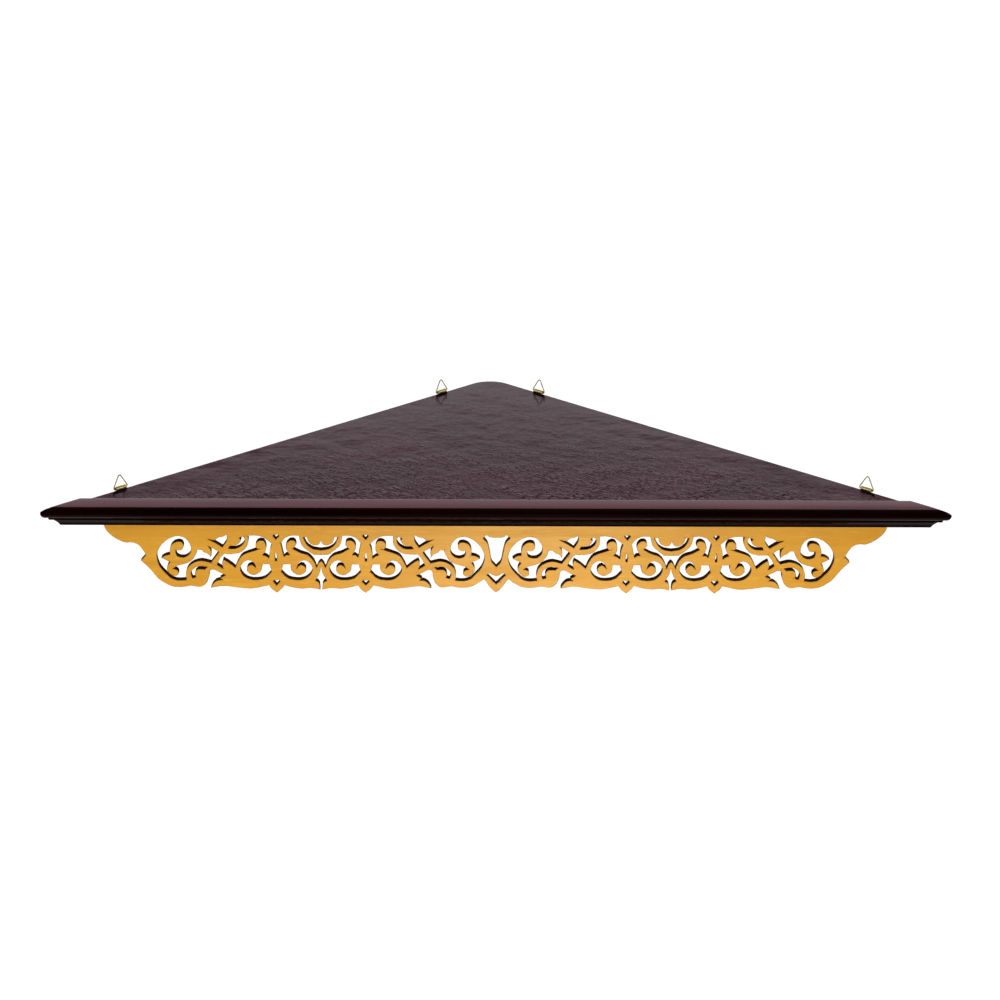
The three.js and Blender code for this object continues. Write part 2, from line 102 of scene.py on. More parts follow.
def makeCamera():
    right, up = Vector(cameraSet["right"]), Vector(cameraSet["up"])
    turn = Matrix((right, up, right.cross(up))).transposed().to_4x4()
    data = bpy.data.cameras.new("camera")
    data.lens, data.sensor_width = cameraSet["lens"], cameraSet["sensor"]
    data.clip_start, data.clip_end = cameraSet["clip"]
    camera = linked("camera", data)
    camera.matrix_world = Matrix.Translation(cameraSet["place"]) @ turn
    bpy.context.scene.camera = camera


def makeLights():
    s = studioSet
    data = bpy.data.lights.new("frontLight", "AREA")
    data.shape, data.size, data.energy = "DISK", s["frontSize"], s["frontPower"]
    front = linked("frontLight", data)
    front.location = s["frontPlace"]
    front.rotation_mode = "QUATERNION"
    front.rotation_quaternion = (-Vector(s["frontPlace"])).to_track_quat("-Z", "Y")
    front.visible_camera = False
    data = bpy.data.lights.new("overhead", "SUN")
    data.energy, data.angle = s["overheadStrength"], math.radians(s["overheadAngle"])
    overhead = linked("overhead", data)
    overhead.visible_glossy = False  # it lights the room, and shows in no gloss


def makeSky():
    world = bpy.data.worlds.new("studioSky")
    world.use_nodes = True
    sky = Wiring(world.node_tree)
    direction = sky.node("ShaderNodeTexCoord").outputs["Generated"]
    height = sky.node("ShaderNodeSeparateXYZ", {0: direction}).outputs["Z"]
    ramp = sky.node("ShaderNodeFloatCurve", {"Value": height})
    heights, strengths = studioSet["skyHeights"], studioSet["skyStrengths"]
    strongest = max(strengths)
    curve = ramp.mapping.curves[0]
    while len(curve.points) < len(heights):
        curve.points.new(0.5, 0.5)
    for point, x, strength in zip(curve.points, heights, strengths):
        point.location = (x, strength / strongest)
        point.handle_type = "VECTOR"
    ramp.mapping.update()
    background = sky.tree.nodes["Background"].inputs
    sky.put(background["Strength"], sky.times(ramp.outputs[0], strongest))
    background["Color"].default_value = (1, 1, 1, 1)
    bpy.context.scene.world = world


def makeFloor():
    half, z = studioSet["floorSpan"] / 2, cadLow.z - studioSet["floorDrop"]
    corners = [(-half, -half, z), (half, -half, z), (half, half, z), (-half, half, z)]
    mesh = bpy.data.meshes.new("floor")
    mesh.from_pydata(corners, [], [(0, 1, 2, 3)])
    finish = Finish("paleFloor")
    finish.colour(studioSet["floorColour"])
    finish.roughness(studioSet["floorRoughness"])
    mesh.materials.append(finish.material)
    floor = linked("floor", mesh)


# Wiring adds nodes to a tree. Finish is a material's tree, and Growth a Geometry Nodes one.


class Wiring:
    def __init__(self, tree):
        self.tree = tree

    def node(self, kind, values=None, **settings):
        made = self.tree.nodes.new(kind)
        for key, value in settings.items():
            setattr(made, key, value)
        for key, value in (values or {}).items():
            self.put(made.inputs[key], value)
        return made

    def put(self, socket, value):
        if isinstance(value, bpy.types.NodeSocket):
            self.tree.links.new(value, socket)
        elif isinstance(value, tuple) and len(value) == 3 and socket.type == "RGBA":
            socket.default_value = (*value, 1)
        else:
            socket.default_value = value

    def made(self, kind, values=None, **settings):
        return self.node(kind, values, **settings).outputs[0]

    def calc(self, operation, a, b=0.0):
        return self.made("ShaderNodeMath", {0: a, 1: b}, operation=operation)

    def added(self, a, b):
        return self.calc("ADD", a, b)

    def times(self, a, b):
        return self.calc("MULTIPLY", a, b)


class Finish(Wiring):
    # a principled shader, with textures on Object coordinates
    def __init__(self, name, metallic=0.0, ior=1.45):
        self.material = bpy.data.materials.new(name)
        self.material.use_nodes = True
        super().__init__(self.material.node_tree)
        self.shader = self.tree.nodes["Principled BSDF"].inputs
        self.shader["Metallic"].default_value = metallic
        self.shader["IOR"].default_value = ior
        self.coordinates = self.node("ShaderNodeTexCoord").outputs["Object"]

    def stretched(self, stretch, turn=(0, 0, 0)):
        scale = tuple(1 / s for s in stretch)
        values = {"Vector": self.coordinates, "Scale": scale, "Rotation": turn}
        return self.made("ShaderNodeMapping", values, vector_type="TEXTURE")

    def noise(self, scale, detail=3.0, rough=0.6, stretch=(1, 1, 1), turn=(0, 0, 0), swirl=0.0):
        return self.made("ShaderNodeTexNoise", {
            "Vector": self.stretched(stretch, turn), "Scale": scale, "Detail": detail,
            "Roughness": rough, "Distortion": swirl,
        })

    def spread(self, value, low, high, toLow=0.0, toHigh=1.0):
        return self.made("ShaderNodeMapRange", {
            "Value": value, "From Min": low, "From Max": high, "To Min": toLow, "To Max": toHigh,
        }, interpolation_type="SMOOTHSTEP")

    def mixed(self, share, a, b):
        # by number, as every data type has sockets of these names
        return self.node("ShaderNodeMix", {0: share, 6: a, 7: b}, data_type="RGBA").outputs[2]

    def attribute(self, name):
        return self.node("ShaderNodeAttribute", attribute_name=name).outputs["Fac"]

    def colour(self, value):
        self.put(self.shader["Base Color"], value)

    def roughness(self, value):
        self.put(self.shader["Roughness"], value)

    def bump(self, height, depth, strength=1.0, after=None):
        values = {"Height": height, "Distance": depth, "Strength": strength}
        if after is not None:
            values["Normal"] = after
        normal = self.made("ShaderNodeBump", values)
        self.put(self.shader["Normal"], normal)
        return normal


def metalFinish(name, light, dark, roughness):
    finish = Finish(name, metallic=1.0)
    wear = finish.noise(700, detail=4)
    scratches = finish.noise(2600, detail=2, rough=0.5, stretch=(1, 0.15, 1))
    finish.colour(finish.mixed(finish.spread(wear, 0.4, 0.7), light, dark))
    finish.roughness(finish.spread(wear, 0.3, 0.7, roughness * 0.7, roughness * 1.5))
    finish.bump(scratches, 0.01 * mm, strength=0.4)
    return finish.material


# Mesh helpers


def pieceFrom(name, points, faces, materials=()):
    mesh = bpy.data.meshes.new(name)
    mesh.from_pydata(points, [], faces)
    for material in materials:
        mesh.materials.append(material)
    mesh.validate()
    piece = linked(name, mesh)
    shaded(piece)
    return piece


def welded(node):
    tool = bmesh.new()
    tool.from_mesh(frame["nodes"][node].data)
    bmesh.ops.remove_doubles(tool, verts=tool.verts[:], dist=weld)
    return tool


def mergedCopy(name, node, material):
    tool = welded(node)
    flat = math.radians(0.5)
    bmesh.ops.dissolve_limit(tool, angle_limit=flat, verts=tool.verts[:], edges=tool.edges[:])
    mesh = bpy.data.meshes.new(name)
    tool.to_mesh(mesh)
    tool.free()
    mesh.materials.append(material)
    return linked(name, mesh)


def shaded(piece, smoothAngle=40):
    mesh = piece.data
    mesh.polygons.foreach_set("use_smooth", [True] * len(mesh.polygons))
    mesh.set_sharp_from_angle(angle=math.radians(smoothAngle))
    mesh.update()


def evenNormals(piece):
    # so that flat faces look flat beside their rounded edges
    weighted = piece.modifiers.new("flats", "WEIGHTED_NORMAL")
    weighted.keep_sharp = True
    baked(piece)


def outwardFaces(piece):
    tool = bmesh.new()
    tool.from_mesh(piece.data)
    bmesh.ops.recalc_face_normals(tool, faces=tool.faces[:])
    tool.to_mesh(piece.data)
    tool.free()


def rounded(piece, width, segments, angle=None):
    # the edges sharper than the angle, or without one those with a bevel weight
    bevel = piece.modifiers.new("rounding", "BEVEL")
    bevel.width, bevel.segments = width, segments
    bevel.limit_method = "WEIGHT" if angle is None else "ANGLE"
    if angle is not None:
        bevel.angle_limit = math.radians(angle)
    bevel.harden_normals = False
    baked(piece)


def baked(piece):
    depsgraph = bpy.context.evaluated_depsgraph_get()
    evaluated = piece.evaluated_get(depsgraph)
    mesh = bpy.data.meshes.new_from_object(evaluated, depsgraph=depsgraph)
    piece.modifiers.clear()
    piece.data = mesh


def bezier(a, b, c, d, steps):
    a, b, c, d = map(np.array, (a, b, c, d))
    t = np.linspace(0, 1, steps + 1)[1:, None]
    curve = (1 - t) ** 3 * a + 3 * (1 - t) ** 2 * t * b + 3 * (1 - t) * t**2 * c + t**3 * d
    return [tuple(p) for p in curve]


def bow(a, bend, c, steps):
    # a curve from a to c that leaves and arrives pointing at the bend
    a, bend, c = map(np.array, (a, bend, c))
    return bezier(a, a + (bend - a) * 2 / 3, c + (bend - c) * 2 / 3, c, steps)


def arc(cx, cy, radius, start, end, steps):
    turns = np.linspace(start, end, steps + 1)
    return [(cx + radius * math.cos(t), cy + radius * math.sin(t)) for t in turns]


# Board

boardSet = {
    "cornerRound": 18 * mm,
    "cornerSteps": 20,
    "edgeRound": 0.7 * mm,
    "tongueDrop": 3 * mm,
    "lipOverlap": 6.7 * mm,
    "ior": 1.12,
    "roughness": 0.06,
    "dark": (0.026, 0.004, 0.010),
    "light": (0.038, 0.007, 0.016),
    "streak": (0.019, 0.003, 0.008),
    "pore": (0.014, 0.002, 0.006),
    "rippleDepth": 0.3 * mm,
    "figureDepth": 0.09 * mm,
    "poreDepth": 0.1 * mm,
    "poreDullness": 0.48,
    # from one place to another, and how far the pores stand open at each
    "openByY": (-0.09, 0.08, 1.6, 0.3),
    "openFromWall": (12 * mm, 75 * mm, 0.12, 1.0),
}
# painted shadow by each hanger: a near-black colour and raised roughness standing in for the shadow
# and dark reflection of the strap's eye and ring
strapShadowSet = {
    "colour": (0.003, 0.0006, 0.0008),
    "dullness": 0.85,
    "ragged": 1.2 * mm,
    # from one place to another, and the mark's strength at each
    "betweenTails": (1.8 * mm, 3.4 * mm, 0.25, 1.0),  # to the side of the eye's middle
    "outerEdge": (3.7 * mm, 4.7 * mm, 1.0, 0.0),
    "band": (7 * mm, 10.5 * mm, 1.0, 0.0),  # away from the wall
    "tails": (7 * mm, 27 * mm, 0.55, 0.0),
    "topFace": (-1.2 * mm, -0.4 * mm, 0.0, 1.0),  # z
}


def boardLacquer(corner):
    # corner is the y where the walls meet, and fromWall is measured along y
    b = boardSet
    finish = Finish("boardLacquer", ior=b["ior"])
    place = finish.node("ShaderNodeSeparateXYZ", {0: finish.coordinates}).outputs
    sideways = finish.calc("ABSOLUTE", place["X"])
    fromWall = finish.calc("SUBTRACT", corner, finish.added(sideways, place["Y"]))
    grain = (0, 0, -pi / 4)  # the veneer's grain runs along the right wall
    pores = finish.noise(560, stretch=(0.42, 1, 1), turn=grain)
    figure = finish.noise(170, detail=4, stretch=(0.55, 1, 1), turn=grain)
    clouds = finish.noise(11)
    ripples = finish.noise(40, detail=2, rough=0.5)
    colour = finish.mixed(finish.spread(clouds, 0.35, 0.7), b["dark"], b["light"])
    streaks = finish.spread(figure, 0.45, 0.7, toHigh=0.5)
    colour = finish.mixed(streaks, colour, b["streak"])
    colour = finish.mixed(finish.spread(pores, 0.54, 0.68), colour, b["pore"])
    paintedShadow = paintedStrapShadows(finish, place, fromWall)
    # the painted shadow by the hangers goes over the wood's colour
    finish.colour(finish.mixed(paintedShadow, colour, strapShadowSet["colour"]))

    # the pores stand open in patches, and most of all towards the front
    byY = finish.spread(place["Y"], *b["openByY"])
    openness = finish.times(byY, finish.spread(fromWall, *b["openFromWall"]))
    patches = finish.spread(finish.noise(38), 0.38, 0.62, 0.35, 1.0)
    openness = finish.times(patches, openness)
    gloss = finish.spread(pores, 0.35, 0.7, b["roughness"] * 0.8, b["roughness"] * 1.6)
    dull = finish.times(finish.spread(pores, 0.5, 0.6, toHigh=b["poreDullness"]), openness)
    # rougher under the painted shadow, so that it shows no gloss
    dulledUnderShadow = finish.times(paintedShadow, strapShadowSet["dullness"])
    finish.roughness(finish.added(finish.added(gloss, dull), dulledUnderShadow))

    raised = finish.times(finish.spread(figure, 0.38, 0.62), openness)
    pitted = finish.times(finish.spread(pores, 0.48, 0.62), openness)
    normal = finish.bump(ripples, b["rippleDepth"])
    normal = finish.bump(raised, b["figureDepth"], after=normal)
    finish.bump(pitted, b["poreDepth"], after=normal)
    return finish.material


def paintedStrapShadows(finish, place, fromWall):
    # painted shadow by each strap's eye and ring, darker and duller: a band along the wall for the
    # eye's contact shadow and dark reflection, and two tails that fade towards the front for the
    # dark reflection of the ring's wires
    m = strapShadowSet
    ragged = finish.noise(420)
    reach = finish.added(fromWall, finish.spread(ragged, 0.3, 0.7, -m["ragged"], m["ragged"]))
    beside = 1.0
    for joint in frame["joints"]:
        away = finish.calc("ABSOLUTE", finish.calc("SUBTRACT", place["X"], joint["pos_m"][0]))
        beside = finish.calc("MINIMUM", beside, away)
    sides = finish.spread(beside, *m["betweenTails"])
    tails = finish.times(sides, finish.spread(reach, *m["tails"]))
    paintedShadow = finish.calc("MAXIMUM", tails, finish.spread(reach, *m["band"]))
    paintedShadow = finish.times(paintedShadow, finish.spread(beside, *m["outerEdge"]))
    return finish.times(paintedShadow, finish.spread(place["Z"], *m["topFace"]))


def makeBoard():
    b = boardSet
    low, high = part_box("shelf_board")
    corner = cadLow.y + (cadHigh.x - cadLow.x) / 2  # where the two walls would meet
    radius = b["cornerRound"]
    centre = corner - radius * math.sqrt(2)
    back = arc(0, centre, radius, pi / 4, 3 * pi / 4, b["cornerSteps"])

    def outline(frontY):
        half = corner - frontY
        return [(-half, frontY), (half, frontY), *back]

    # the lower outline twice, then the front of the step, then the upper outline
    stepY, stepZ = low.y + b["lipOverlap"], high.z - b["tongueDrop"]
    lower, upper = outline(low.y), outline(stepY)
    count = len(lower)
    points = [(x, y, low.z) for x, y in lower] + [(x, y, stepZ) for x, y in lower]
    points += [(x, y, stepZ) for x, y in upper[:2]] + [(x, y, high.z) for x, y in upper]
    step = 2 * count
    top = step + 2
    faces = [
        tuple(range(count))[::-1], tuple(range(top, top + count)), (0, 1, count + 1, count),
        (count, count + 1, step + 1, step), (step, step + 1, top + 1, top),
        (count + 1, 1, 2, count + 2, step + 1), (step + 1, count + 2, top + 2, top + 1),
    ]
    for i in range(2, count - 1):
        j = count + i
        faces += [(i, i + 1, j + 1, j), (j, j + 1, top + i + 1, top + i)]
    faces += [(count - 1, 0, count, step, step - 1), (step - 1, step, top, top + count - 1)]
    board = pieceFrom("shelfBoard", points, faces, [boardLacquer(corner)])
    outwardFaces(board)
    rounded(board, b["edgeRound"], segments=3, angle=50)
    shaded(board)
    evenNormals(board)
    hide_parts("shelf_board")
    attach(board, "shelf")


# Front moulding

mouldingSet = {
    "stations": 9,  # cross-sections along its length
    "edgeRound": 0.22 * mm,
    "bodyDepth": 18.3 * mm,
    "underLip": -2.7 * mm,  # z
    "ridgeRound": 0.8 * mm,
    "ridgeSteps": 5,
    "crown": (0.56, 0.08 * mm),  # the band's bend: share of the width, and up from the ridge
    "bandSteps": 12,
    "flat": (7 * mm, 0.12 * mm),  # back from the nose, and down from the ridge
    "noseTip": 2.2 * mm,
    "noseFoot": (3.3 * mm, 6.7 * mm),
    # the handles of the nose's two curves, with z from the flat, the flat, the tip and the foot
    "noseHandles": ((4.2 * mm, -0.1 * mm), (0, -0.4 * mm), (0, -2 * mm), (1.6 * mm, 0.2 * mm)),
    "noseSteps": (12, 9),
    "fascia": (4.7 * mm, 9 * mm),
    "fasciaBend": 0.2 * mm,
    "fasciaTurn": 1 * mm,
    "stepRise": 0.2 * mm,
    "cove": (8.2 * mm, 4.7 * mm, 11.8 * mm),  # back, up from the bottom, and back at the bottom
    "coveBend": (2 * mm, 1.6 * mm),
    "foldSteps": 7,  # in the fascia's curve, and in the cove's
    "shadedNose": 14,  # faces of the nose painted near black as shade, from the flat down
    "shadedCove": 2,  # and faces of the cove, from the bottom up
    # one lacquer in three lit and shaded copies: the band's lighter maroon is painted sheen on the
    # faces that look up, the nose and the gaps of the foot are near black as painted shade, and the
    # foot's lines are a little lighter as painted highlights
    "litAndShadedLacquers": {  # dark and light colour, roughness and index of refraction
        "mouldingBand": ((0.05, 0.003, 0.012), (0.07, 0.006, 0.018), 0.16, 1.28),
        "mouldingNose": ((0.002, 0.0001, 0.0002), (0.004, 0.0003, 0.0004), 0.16, 1.04),
        "mouldingFoot": ((0.003, 0.0004, 0.0006), (0.007, 0.0009, 0.001), 0.14, 1.1),
    },
    "sawn": ((0.012, 0.005, 0.004), (0.05, 0.02, 0.014), 0.7),  # dark, light, roughness
}


def mouldingLacquer(name, dark, light, roughness, ior):
    finish = Finish(name, ior=ior)
    streaks = finish.noise(90, detail=4, stretch=(0.04, 1, 1))
    clouds = finish.noise(7, detail=2, rough=0.5)
    lighter = finish.spread(finish.times(streaks, clouds), 0.12, 0.4)
    finish.colour(finish.mixed(lighter, dark, light))
    finish.roughness(finish.spread(streaks, 0.3, 0.7, roughness * 0.8, roughness * 1.3))
    finish.bump(streaks, 0.05 * mm, strength=0.4)
    return finish.material


def sawnEnd():
    finish = Finish("sawnMouldingEnd")
    rings = finish.noise(260, detail=4, stretch=(0.3, 0.3, 1.6))
    pores = finish.noise(1500, detail=2, rough=0.5)
    dark, light, roughness = mouldingSet["sawn"]
    finish.colour(finish.mixed(finish.spread(rings, 0.35, 0.65), dark, light))
    finish.roughness(roughness)
    finish.bump(finish.added(rings, pores), 0.12 * mm, strength=0.7)
    return finish.material


def mouldingSection(width, top, bottom):
    # y is back from the nose's tip, and each run goes on from the one before
    m = mouldingSet
    (flatY, flatZ), (footY, footZ), (fasciaY, fasciaZ) = (
        (m[key][0], top - m[key][1]) for key in ("flat", "noseFoot", "fascia"))
    coveY, coveZ, coveFoot = m["cove"][0], bottom + m["cove"][1], m["cove"][2]
    tipZ = top - m["noseTip"]
    ridge, body = m["ridgeRound"], m["bodyDepth"]

    rear = [(body, bottom), (body, m["underLip"]), (width, m["underLip"]), (width, top - ridge)]
    rear += arc(width - ridge, top - ridge, ridge, 0, pi / 2, m["ridgeSteps"])[1:]

    crown = (width * m["crown"][0], top + m["crown"][1])
    band = bow(rear[-1], crown, (flatY, flatZ), m["bandSteps"])

    heights = (flatZ, flatZ, tipZ, footZ)
    handles = [(y, z + up) for (y, up), z in zip(m["noseHandles"], heights)]
    nose = bezier((flatY, flatZ), *handles[:2], (0, tipZ), m["noseSteps"][0])
    nose += bezier((0, tipZ), *handles[2:], (footY, footZ), m["noseSteps"][1])

    under = [(fasciaY, footZ)]
    bend, end = (fasciaY, fasciaZ + m["fasciaBend"]), (fasciaY + m["fasciaTurn"], fasciaZ)
    under += bow(under[-1], bend, end, m["foldSteps"])
    under += [(coveY, fasciaZ - m["stepRise"]), (coveY, coveZ)]
    bend = (coveY + m["coveBend"][0], coveZ - m["coveBend"][1])
    under += bow(under[-1], bend, (coveFoot, bottom), m["foldSteps"])
    return rear, band, nose, under


def makeMoulding():
    m = mouldingSet
    low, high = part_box("front_moulding")
    rear, band, nose, under = mouldingSection(high.y - low.y, high.z, low.z)
    section = rear + band + nose + under
    count, stations = len(section), m["stations"]
    points = []
    for share in np.linspace(-1, 1, stations):  # mitred, so it is shorter further back
        points += [(share * (high.x - y), low.y + y, z) for y, z in section]

    # face i of the section runs from its point i to the next one
    bandFrom = len(rear) - m["ridgeSteps"]
    noseFrom = len(rear) + len(band) - 1
    fasciaFrom = noseFrom + len(nose)
    coveTo = fasciaFrom + len(under)
    # the nose's front and the gaps under the fascia and at the cove's foot get the copy painted as
    # shade, the band the copy painted with sheen, and the rest the foot's copy with painted
    # highlights
    dark = {*range(noseFrom, noseFrom + m["shadedNose"]), *range(coveTo - m["shadedCove"], coveTo)}
    dark |= {*range(fasciaFrom, fasciaFrom + m["foldSteps"] + 3)}  # with the flats beside it
    kindOf = [0 if bandFrom <= i < noseFrom else 1 if i in dark else 2 for i in range(count)]

    faces = []
    for a in range(0, (stations - 1) * count, count):
        b = a + count
        faces += [(a + i, b + i, b + (i + 1) % count, a + (i + 1) % count) for i in range(count)]
    last = (stations - 1) * count
    faces += [tuple(range(count)), tuple(range(last, last + count))[::-1]]
    kinds = kindOf * (stations - 1) + [3, 3]
    finishes = [mouldingLacquer(name, *values) for name, values in m["litAndShadedLacquers"].items()]
    moulding = pieceFrom("frontMoulding", points, faces, [*finishes, sawnEnd()])
    moulding.data.polygons.foreach_set("material_index", kinds)
    outwardFaces(moulding)
    rounded(moulding, m["edgeRound"], segments=2, angle=38)
    shaded(moulding, smoothAngle=32)
    evenNormals(moulding)
    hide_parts("front_moulding")
    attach(moulding, "shelf")


# Pierced valance: the cut lines come from the CAD node, are smoothed between their corners, and get
# a softened, toasted edge on both faces.

valanceSet = {
    "finer": 3,  # pieces that each straight facet of a curve is split into
    "splitFrom": 0.7 * mm,  # shorter facets stay whole
    "cornerAngle": 32,
    "edgeRound": 0.22 * mm,
    "mitreLimit": 1.8,  # how much further a sharp corner may be moved in than an edge
    "toastWidth": 0.7 * mm,
    "fill": 3.2 * mm,  # spacing of points on the flat faces
    "paintIor": 1.3,
    "paintRoughness": (0.3, 0.42),
    # light, deep, fibre, glint and toasted edge
    "paint": ((0.605, 0.284, 0.014), (0.535, 0.236, 0.007), (0.38, 0.15, 0.006),
              (0.8, 0.42, 0.06), (0.09, 0.028, 0.006)),
    "charIor": 1.1,
    "charRoughness": 0.8,
    "char": ((0.006, 0.0025, 0.0015), (0.05, 0.018, 0.007), (0.1, 0.04, 0.014)),
    "plyRoughness": 0.65,
    # light, dark, fibre and toasted edge
    "ply": ((0.58, 0.40, 0.23), (0.44, 0.27, 0.14), (0.28, 0.16, 0.07), (0.06, 0.022, 0.008)),
}


def goldPaint():
    v = valanceSet
    light, deep, fibre, glint, toasted = v["paint"]
    finish = Finish("goldPaint", ior=v["paintIor"])
    fibres = finish.noise(150, detail=4, stretch=(0.05, 1, 1))
    streaks = finish.noise(38, rough=0.55, stretch=(0.08, 1, 1))
    clouds = finish.noise(9)
    brush = finish.noise(820, detail=2, rough=0.5, stretch=(0.1, 1, 1))
    deeper = finish.spread(finish.times(streaks, clouds), 0.14, 0.4)
    paint = finish.mixed(deeper, light, deep)
    paint = finish.mixed(finish.spread(fibres, 0.52, 0.72, toHigh=0.25), paint, fibre)
    paint = finish.mixed(finish.spread(brush, 0.56, 0.68, toHigh=0.22), paint, glint)
    uneven = finish.spread(finish.noise(260, rough=0.55), 0.35, 0.7, 0.5, 1.1)
    toast = finish.times(finish.attribute("edgeToast"), uneven)
    finish.colour(finish.mixed(finish.spread(toast, 0.15, 1.0), paint, toasted))
    finish.roughness(finish.spread(fibres, 0.3, 0.7, *v["paintRoughness"]))
    normal = finish.bump(fibres, 0.06 * mm, strength=0.6)
    finish.bump(brush, 0.03 * mm, strength=0.6, after=normal)
    return finish.material


def charredPly():
    v = valanceSet
    black, brown, pale = v["char"]
    finish = Finish("charredPly", ior=v["charIor"])
    plies = finish.noise(620, detail=2, rough=0.4, stretch=(0.04, 1, 0.04))
    soot = finish.noise(210, detail=4, rough=0.65)
    burnt = finish.mixed(finish.spread(plies, 0.42, 0.6), black, brown)
    finish.colour(finish.mixed(finish.spread(soot, 0.4, 0.72), burnt, pale))
    finish.roughness(v["charRoughness"])
    finish.bump(finish.added(plies, soot), 0.1 * mm, strength=0.6)
    return finish.material


def rawPly():
    light, dark, fibre, toasted = valanceSet["ply"]
    finish = Finish("rawPlywood")
    figure = finish.noise(34, detail=4, stretch=(0.1, 1, 1), swirl=0.6)
    fibres = finish.noise(420, stretch=(0.03, 1, 1))
    wood = finish.mixed(finish.spread(figure, 0.35, 0.7), light, dark)
    wood = finish.mixed(finish.spread(fibres, 0.55, 0.75, toHigh=0.4), wood, fibre)
    toast = finish.spread(finish.attribute("edgeToast"), 0.05, 1.0)
    finish.colour(finish.mixed(toast, wood, toasted))
    finish.roughness(valanceSet["plyRoughness"])
    finish.bump(fibres, 0.06 * mm, strength=0.6)
    return finish.material


def cutLines(frontY):
    # closed lines of x and z, where the flat front meets a cut face
    tool = welded("fret_valance")

    def onFront(face):
        return all(abs(v.co.y - frontY) < slack for v in face.verts)

    follow = {}
    for face in tool.faces:
        if not onFront(face):
            continue
        for loop in face.loops:
            others = [f for f in loop.edge.link_faces if f != face]
            if others and not onFront(others[0]):
                follow[loop.vert.index] = (loop.link_loop_next.vert.index, loop.vert.co.copy())
    tool.free()
    lines = []
    while follow:
        at, line = next(iter(follow)), []
        while at in follow:
            at, co = follow.pop(at)
            line.append((co.x, co.z))
        if len(line) > 3:
            lines.append(line)
    return lines


def smoothed(line):
    # a finer line through the same points, curved everywhere but at its corners
    v = valanceSet
    p = []
    for q in map(Vector, line):
        if (q - (p[-1] if p else Vector(line[-1]))).length > slack:
            p.append(q)
    count = len(p)
    corner = []
    for i in range(count):
        a, b = p[i] - p[i - 1], p[(i + 1) % count] - p[i]
        corner.append(a.angle(b, 0.0) > math.radians(v["cornerAngle"]))
    fine = []
    for i in range(count):
        a, b = p[i], p[(i + 1) % count]
        before = 2 * a - b if corner[i] else p[i - 1]
        after = 2 * b - a if corner[(i + 1) % count] else p[(i + 2) % count]
        steps = v["finer"] if (b - a).length > v["splitFrom"] else 1
        fine += [centripetal(before, a, b, after, s / steps) for s in range(steps)]
    return fine


def centripetal(p0, p1, p2, p3, share):
    # the point at a share of the way from p1 to p2, on a smooth curve through all four
    if share == 0:
        return p1.copy()
    times = [0.0]
    for a, b in ((p0, p1), (p1, p2), (p2, p3)):
        times.append(times[-1] + (b - a).length ** 0.5 + 1e-9)  # so that none is nothing
    t0, t1, t2, t3 = times
    t = t1 + (t2 - t1) * share

    def between(a, b, start, end):
        return a * ((end - t) / (end - start)) + b * ((t - start) / (end - start))

    a1, a2, a3 = between(p0, p1, t0, t1), between(p1, p2, t1, t2), between(p2, p3, t2, t3)
    b1, b2 = between(a1, a2, t0, t2), between(a2, a3, t1, t3)
    return between(b1, b2, t1, t2)


def area(line):
    return sum(a.x * b.y - b.x * a.y for a, b in zip(line, line[1:] + line[:1]))


def valanceLines(frontY):
    # the openings run the other way round, so that the wood is always on the same side
    lines = [smoothed(line) for line in cutLines(frontY)]
    outline = max(range(len(lines)), key=lambda i: abs(area(lines[i])))
    return [line if (area(line) > 0) == (i == outline) else line[::-1]
            for i, line in enumerate(lines)]


def insideNormals(line):
    # into the wood at each point, longer at a corner, so that an edge keeps its width
    normals = []
    for before, at, after in zip(line[-1:] + line[:-1], line, line[1:] + line[:1]):
        a, b = (at - before).normalized(), (after - at).normalized()
        na, nb = Vector((-a.y, a.x)), Vector((-b.y, b.x))
        n = na + nb
        n = n.normalized() if n.length > 1e-4 else na  # a hairpin has no middle way
        normals.append(n * min(valanceSet["mitreLimit"], 1 / max(0.3, n.dot(na))))
    return normals


def wallTree(lines):
    # upright walls on the lines, to measure how far a point is from the nearest cut
    points, quads = [], []
    for line in lines:
        start, count = len(points), len(line)
        for p in line:
            points += [(p.x, -1, p.y), (p.x, 1, p.y)]
        for i in range(count):
            a, b = start + 2 * i, start + 2 * ((i + 1) % count)
            quads.append((a, b, b + 1, a + 1))
    return BVHTree.FromPolygons(points, quads)


def evenOdd(points, lines):
    inside = np.zeros(len(points), bool)
    px, pz = points[:, 0], points[:, 1]
    for line in lines:
        a = np.array([(p.x, p.y) for p in line])
        b = np.roll(a, -1, axis=0)
        for (ax, az), (bx, bz) in zip(a, b):
            if az == bz:
                continue
            hit = (az > pz) != (bz > pz)
            if hit.any():
                inside ^= hit & (px < (bx - ax) * (pz - az) / (bz - az) + ax)
    return inside


def softEdges(lines, gap):
    # each line moved in, by less where the wood is narrow, and points across its toasted strip
    v = valanceSet
    edgeLines, strip = [], []
    for line in lines:
        inner = []
        for i, (p, n) in enumerate(zip(line, insideNormals(line))):
            reach = v["edgeRound"]
            for _ in range(6):
                if gap(p + n * reach) > 0.8 * reach:
                    break
                reach *= 0.6
            inner.append(p + n * reach)
            for share in (0.5, 1.0) if i % 2 else ():
                away = v["toastWidth"] * share
                q = p + n.normalized() * away
                if gap(q) > away * 0.85:
                    strip.append(q)
        edgeLines.append(inner)
    return edgeLines, strip


def flatTriangles(edgeLines, others):
    # the flat face as points, and as triangles that all turn the same way
    plane, edges = [], []
    for line in edgeLines:
        at, count = len(plane), len(line)
        plane += line
        edges += [(at + i, at + (i + 1) % count) for i in range(count)]
    found, _, triangles, *_ = delaunay_2d_cdt(plane + others, edges, [], 0, 1e-7)
    spots = np.array([(p.x, p.y) for p in found])
    corners = np.array([t for t in triangles if len(t) == 3])
    corners = corners[evenOdd(spots[corners].mean(axis=1), edgeLines)]
    (ax, az), (bx, bz), (cx, cz) = (spots[corners[:, i]].T for i in range(3))
    backwards = (bx - ax) * (cz - az) - (bz - az) * (cx - ax) <= 0
    corners[backwards] = corners[backwards][:, [0, 2, 1]]
    return spots, corners.tolist()


